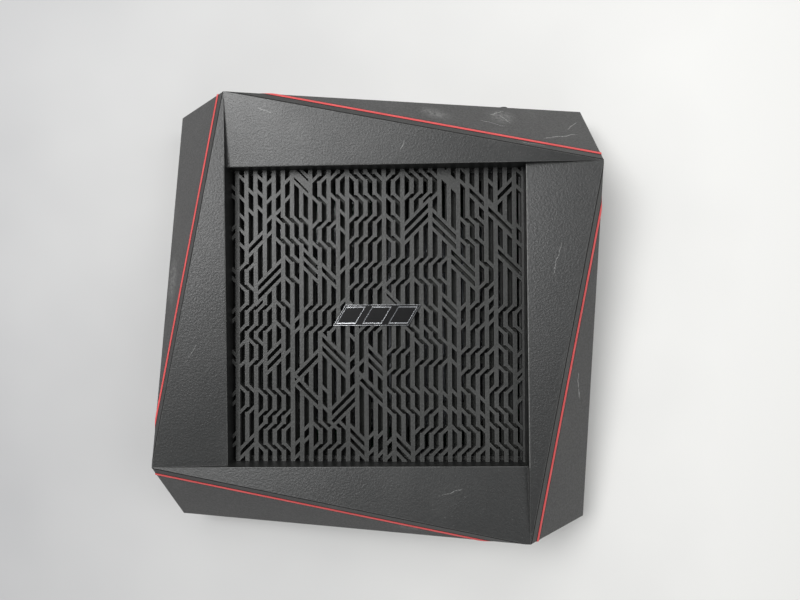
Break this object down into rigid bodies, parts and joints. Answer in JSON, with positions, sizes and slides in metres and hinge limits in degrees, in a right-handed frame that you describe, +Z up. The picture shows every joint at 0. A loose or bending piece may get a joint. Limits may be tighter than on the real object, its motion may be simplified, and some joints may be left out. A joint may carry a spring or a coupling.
{
  "type": "wireless router",
  "caption": "Square desktop wireless router with a twisted faceted housing, dished top panels, trace-patterned vent grille, red parting line, network sockets and antenna jacks.",
  "frame": {"origin": "middle of the footprint on the plane of the rubber feet", "axes": "+Z up, +Y out of the rear wall with the network sockets, +X to the right seen from the front"},
  "size_m": [0.2462, 0.2489, 0.065],
  "materials": {
    "case_plastic": "fine spark-eroded texture, matte black",
    "panel_plastic": "fine-textured charcoal, satin",
    "red_plastic": "glossy red",
    "grille_plastic": "satin dark grey",
    "screen_plastic": "matte black",
    "badge_chrome": "polished with a dark inlay",
    "label_film": "silver-grey film, blank",
    "foot_rubber": "matte",
    "screw_steel": "zinc plated",
    "jack_brass": "gold plated",
    "coax_jacket": "grey sleeve",
    "button_plastic": "satin black",
    "switch_plastic": "moulded",
    "clear_plastic": "frosted clear",
    "led_package": "clear package",
    "circuit_board": "green solder mask",
    "heatsink_aluminium": "milled",
    "thermal_pad": "soft grey-blue",
    "chip_plastic": "moulded epoxy",
    "capacitor_can": "sleeved can",
    "shield_steel": "tin plated"
  },
  "bodies": {
    "housing": {"lower_case": "case_plastic", "side_housing": "case_plastic", "red_trim": "red_plastic", "top_frame": "panel_plastic", "grille": "grille_plastic", "vent_screen": "screen_plastic", "badge": "badge_chrome", "port_panel": "case_plastic", "rating_label": "label_film", "rubber_feet": "foot_rubber", "case_screws": "screw_steel", "grille_screws": "screw_steel", "jack_washers": "screw_steel", "jack_nuts": "jack_brass", "coax_leads": "coax_jacket", "power_switch": "switch_plastic", "reset_switch": "switch_plastic", "side_switches": "switch_plastic", "light_guide": "clear_plastic", "status_leds": "led_package", "main_board": "circuit_board", "board_screws": "screw_steel", "heatsink": "heatsink_aluminium", "heatsink_screws": "screw_steel", "heat_spreader": "heatsink_aluminium", "spreader_pad": "thermal_pad", "cpu_chip": "chip_plastic", "cpu_shield": "shield_steel", "cpu_pad": "thermal_pad", "memory_chips": "chip_plastic", "flash_chip": "chip_plastic", "switch_chip": "chip_plastic", "line_transformers": "chip_plastic", "lan_sockets_a": "shield_steel", "lan_sockets_b": "shield_steel", "wan_socket": "shield_steel", "usb_socket_a": "shield_steel", "usb_socket_b": "shield_steel", "dc_socket": "switch_plastic", "capacitors": "capacitor_can", "inductors": "chip_plastic", "radio_chip_1": "chip_plastic", "radio_chip_2": "chip_plastic", "radio_chip_3": "chip_plastic", "radio_shield_1": "shield_steel", "radio_shield_2": "shield_steel", "radio_shield_3": "shield_steel", "antenna_jack_1": "jack_brass", "antenna_jack_2": "jack_brass", "antenna_jack_3": "jack_brass", "antenna_jack_4": "jack_brass", "antenna_jack_5": "jack_brass", "antenna_jack_6": "jack_brass", "antenna_jack_7": "jack_brass", "antenna_jack_8": "jack_brass"},
    "power_key": {"power_button": "button_plastic"},
    "reset_key": {"reset_button": "button_plastic"},
    "wps_key": {"wps_button": "button_plastic"},
    "wifi_key": {"wifi_button": "button_plastic"},
    "led_key": {"led_button": "button_plastic"}
  },
  "joints": [
    {"name": "power_press", "type": "slide", "parent": "housing", "child": "power_key", "axis": [0, -1, 0], "range_m": [0, 0.002], "stiffness_N_per_m": 500},
    {"name": "reset_press", "type": "slide", "parent": "housing", "child": "reset_key", "axis": [0, -1, 0], "range_m": [0, 0.0006], "stiffness_N_per_m": 700},
    {"name": "wps_press", "type": "slide", "parent": "housing", "child": "wps_key", "axis": [-1, 0, 0], "range_m": [0, 0.0008], "stiffness_N_per_m": 700},
    {"name": "wifi_press", "type": "slide", "parent": "housing", "child": "wifi_key", "axis": [-1, 0, 0], "range_m": [0, 0.0008], "stiffness_N_per_m": 700},
    {"name": "led_press", "type": "slide", "parent": "housing", "child": "led_key", "axis": [-1, 0, 0], "range_m": [0, 0.0008], "stiffness_N_per_m": 700}
  ]
}
